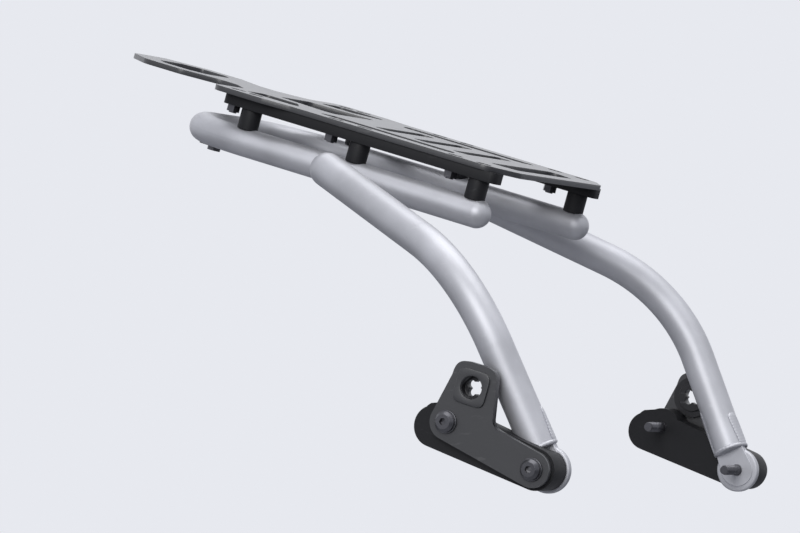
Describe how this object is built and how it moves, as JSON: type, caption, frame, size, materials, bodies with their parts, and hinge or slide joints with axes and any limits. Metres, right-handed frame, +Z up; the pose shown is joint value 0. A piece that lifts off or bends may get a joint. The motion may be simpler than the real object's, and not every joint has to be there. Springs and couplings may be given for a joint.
{
  "type": "motorcycle rear rack frame with pannier brackets",
  "caption": "Tubular hoop and grab rails that carry a slotted luggage deck, with side brackets whose lock sockets hold removable pannier hoops.",
  "frame": {"origin": "middle of the deck's top face", "axes": "+X to the front of the motorcycle, +Y to its left side, +Z up"},
  "size_m": [0.4395, 0.4526, 0.3423],
  "materials": {
    "silver_paint": "satin silver paint",
    "black_powder_coat": "fine-textured black powder coat",
    "black_zinc": "black, slightly glossy",
    "fastener_steel": "dark satin"
  },
  "bodies": {
    "root": {"hoop": "silver_paint", "grab_rail_right": "silver_paint", "grab_rail_left": "silver_paint", "foot_lug_right": "silver_paint", "foot_lug_left": "silver_paint", "deck": "black_powder_coat", "rail_right": "black_powder_coat", "rail_left": "black_powder_coat", "leg_rear_right": "black_powder_coat", "leg_rear_left": "black_powder_coat", "leg_middle_right": "black_powder_coat", "leg_middle_left": "black_powder_coat", "leg_front_right": "black_powder_coat", "leg_front_left": "black_powder_coat", "spacer_block_right": "black_powder_coat", "spacer_block_left": "black_powder_coat", "pannier_bracket_right": "black_powder_coat", "pannier_bracket_left": "black_powder_coat", "stay": "black_powder_coat", "lock_socket_right": "black_zinc", "lock_socket_left": "black_zinc", "socket_ring_right": "black_zinc", "socket_ring_left": "black_zinc", "leg_screws": "fastener_steel", "leg_nuts": "fastener_steel", "deck_screws": "fastener_steel", "deck_nuts": "fastener_steel", "front_bolt_right": "fastener_steel", "front_bolt_left": "fastener_steel", "rear_bolt_right": "fastener_steel", "rear_bolt_left": "fastener_steel", "washers_right": "fastener_steel", "washers_left": "fastener_steel", "stay_screws": "fastener_steel"}
  },
  "joints": []
}
